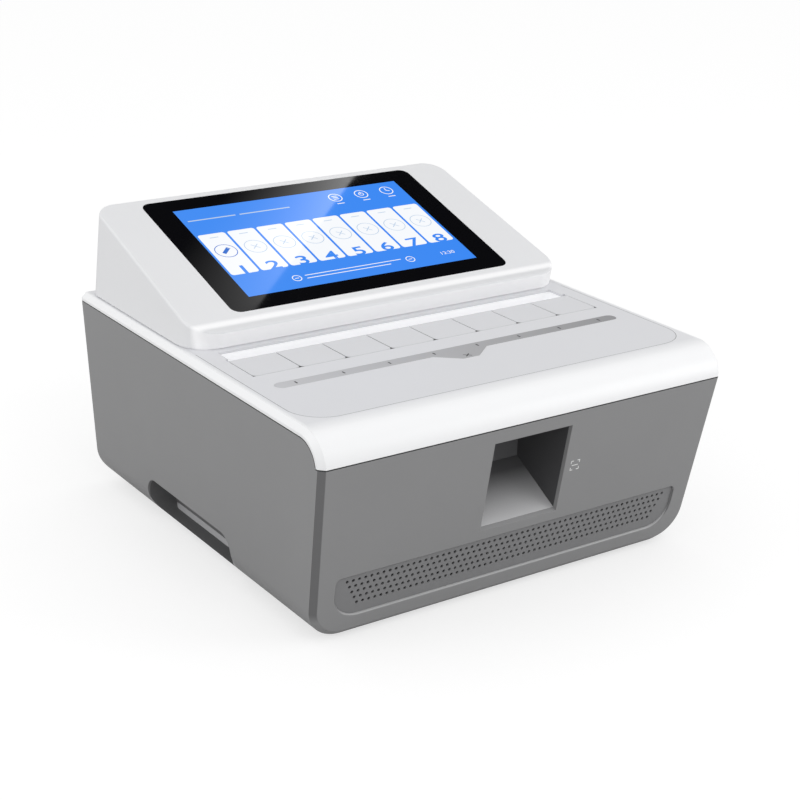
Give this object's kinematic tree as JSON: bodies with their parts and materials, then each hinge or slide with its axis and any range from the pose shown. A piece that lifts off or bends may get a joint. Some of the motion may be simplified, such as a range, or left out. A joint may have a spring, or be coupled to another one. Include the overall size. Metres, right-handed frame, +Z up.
{
  "type": "real-time pcr machine",
  "caption": "Bench real-time PCR instrument with a row of hinged sample lids, a tilted touch display, a scan recess and an intake grille in its front.",
  "frame": {"origin": "on the bench, under the middle of the body's width and depth", "axes": "+X to the user's right, +Y to the rear, +Z up"},
  "size_m": [0.3642, 0.374, 0.2404],
  "materials": {
    "housing_grey": "satin moulded, mid grey",
    "cover_white": "satin moulded, white",
    "deck_grey": "satin, very light grey",
    "lid_grey": "satin moulded, very light grey",
    "light_bar": "frosted translucent",
    "funnel_grey": "fine matt, mid grey",
    "grille_grey": "powder coated, mid grey",
    "touch_glass": "black printed border, clear over the picture",
    "screen_panel": "lit picture",
    "clear_window": "dark tinted clear plate",
    "sheet_steel": "zinc plated sheet",
    "rod_steel": "ground rod",
    "screw_steel": "plated",
    "rear_paint": "fine texture paint, grey",
    "aluminium_block": "machined",
    "ceramic_white": "ceramic plates",
    "black_plastic": "fine matt, black",
    "circuit_green": "solder mask",
    "foot_rubber": "matt",
    "pad_silicone": "soft silicone, dark"
  },
  "bodies": {
    "housing": {"lower_housing": "housing_grey", "top_cover": "cover_white", "deck_panel": "deck_grey", "lane_tray": "cover_white", "hinge_rod": "rod_steel", "lid_latches": "black_plastic", "status_bar": "light_bar", "status_light_board": "circuit_green", "display_housing": "cover_white", "display_glass": "touch_glass", "display_module": "screen_panel", "display_bracket": "sheet_steel", "display_screws": "screw_steel", "scan_funnel": "funnel_grey", "scan_window": "clear_window", "scanner_module": "black_plastic", "grille_panel": "grille_grey", "peltier_modules": "ceramic_white", "heat_sink": "aluminium_block", "optics_modules": "black_plastic", "chassis_plate": "sheet_steel", "chassis_screws": "screw_steel", "support_frame": "sheet_steel", "power_supply": "sheet_steel", "main_board": "circuit_green", "rear_ports": "sheet_steel", "rear_panel": "rear_paint", "panel_screws": "screw_steel", "power_inlet": "black_plastic", "switch_frame": "black_plastic", "fan_frame": "black_plastic", "rubber_feet": "foot_rubber", "foot_screws": "screw_steel", "case_screws": "screw_steel", "thermal_block_1": "aluminium_block", "thermal_block_2": "aluminium_block", "thermal_block_3": "aluminium_block", "thermal_block_4": "aluminium_block", "thermal_block_5": "aluminium_block", "thermal_block_6": "aluminium_block", "thermal_block_7": "aluminium_block", "thermal_block_8": "aluminium_block"},
    "lid_1": {"lane_lid_1": "lid_grey", "lid_pad_1": "pad_silicone"},
    "lid_2": {"lane_lid_2": "lid_grey", "lid_pad_2": "pad_silicone"},
    "lid_3": {"lane_lid_3": "lid_grey", "lid_pad_3": "pad_silicone"},
    "lid_4": {"lane_lid_4": "lid_grey", "lid_pad_4": "pad_silicone"},
    "lid_5": {"lane_lid_5": "lid_grey", "lid_pad_5": "pad_silicone"},
    "lid_6": {"lane_lid_6": "lid_grey", "lid_pad_6": "pad_silicone"},
    "lid_7": {"lane_lid_7": "lid_grey", "lid_pad_7": "pad_silicone"},
    "lid_8": {"lane_lid_8": "lid_grey", "lid_pad_8": "pad_silicone"},
    "fan_wheel": {"fan_rotor": "black_plastic"},
    "rocker": {"switch_rocker": "black_plastic"}
  },
  "joints": [
    {"name": "lid_1_hinge", "type": "hinge", "parent": "housing", "child": "lid_1", "pos_m": [-0.14, -0.0263, 0.1631], "axis": [-1, 0, 0], "range_deg": [0, 100]},
    {"name": "lid_2_hinge", "type": "hinge", "parent": "housing", "child": "lid_2", "pos_m": [-0.1, -0.0263, 0.1631], "axis": [-1, 0, 0], "range_deg": [0, 100]},
    {"name": "lid_3_hinge", "type": "hinge", "parent": "housing", "child": "lid_3", "pos_m": [-0.06, -0.0263, 0.1631], "axis": [-1, 0, 0], "range_deg": [0, 100]},
    {"name": "lid_4_hinge", "type": "hinge", "parent": "housing", "child": "lid_4", "pos_m": [-0.02, -0.0263, 0.1631], "axis": [-1, 0, 0], "range_deg": [0, 100]},
    {"name": "lid_5_hinge", "type": "hinge", "parent": "housing", "child": "lid_5", "pos_m": [0.02, -0.0263, 0.1631], "axis": [-1, 0, 0], "range_deg": [0, 100]},
    {"name": "lid_6_hinge", "type": "hinge", "parent": "housing", "child": "lid_6", "pos_m": [0.06, -0.0263, 0.1631], "axis": [-1, 0, 0], "range_deg": [0, 100]},
    {"name": "lid_7_hinge", "type": "hinge", "parent": "housing", "child": "lid_7", "pos_m": [0.1, -0.0263, 0.1631], "axis": [-1, 0, 0], "range_deg": [0, 100]},
    {"name": "lid_8_hinge", "type": "hinge", "parent": "housing", "child": "lid_8", "pos_m": [0.14, -0.0263, 0.1631], "axis": [-1, 0, 0], "range_deg": [0, 100]},
    {"name": "fan_spin", "type": "hinge", "parent": "housing", "child": "fan_wheel", "pos_m": [0.072, 0.17, 0.091], "axis": [0, 1, 0], "continuous": true},
    {"name": "rocker_tip", "type": "hinge", "parent": "housing", "child": "rocker", "pos_m": [-0.062, 0.179, 0.055], "axis": [-1, 0, 0], "range_deg": [0, 16]}
  ]
}
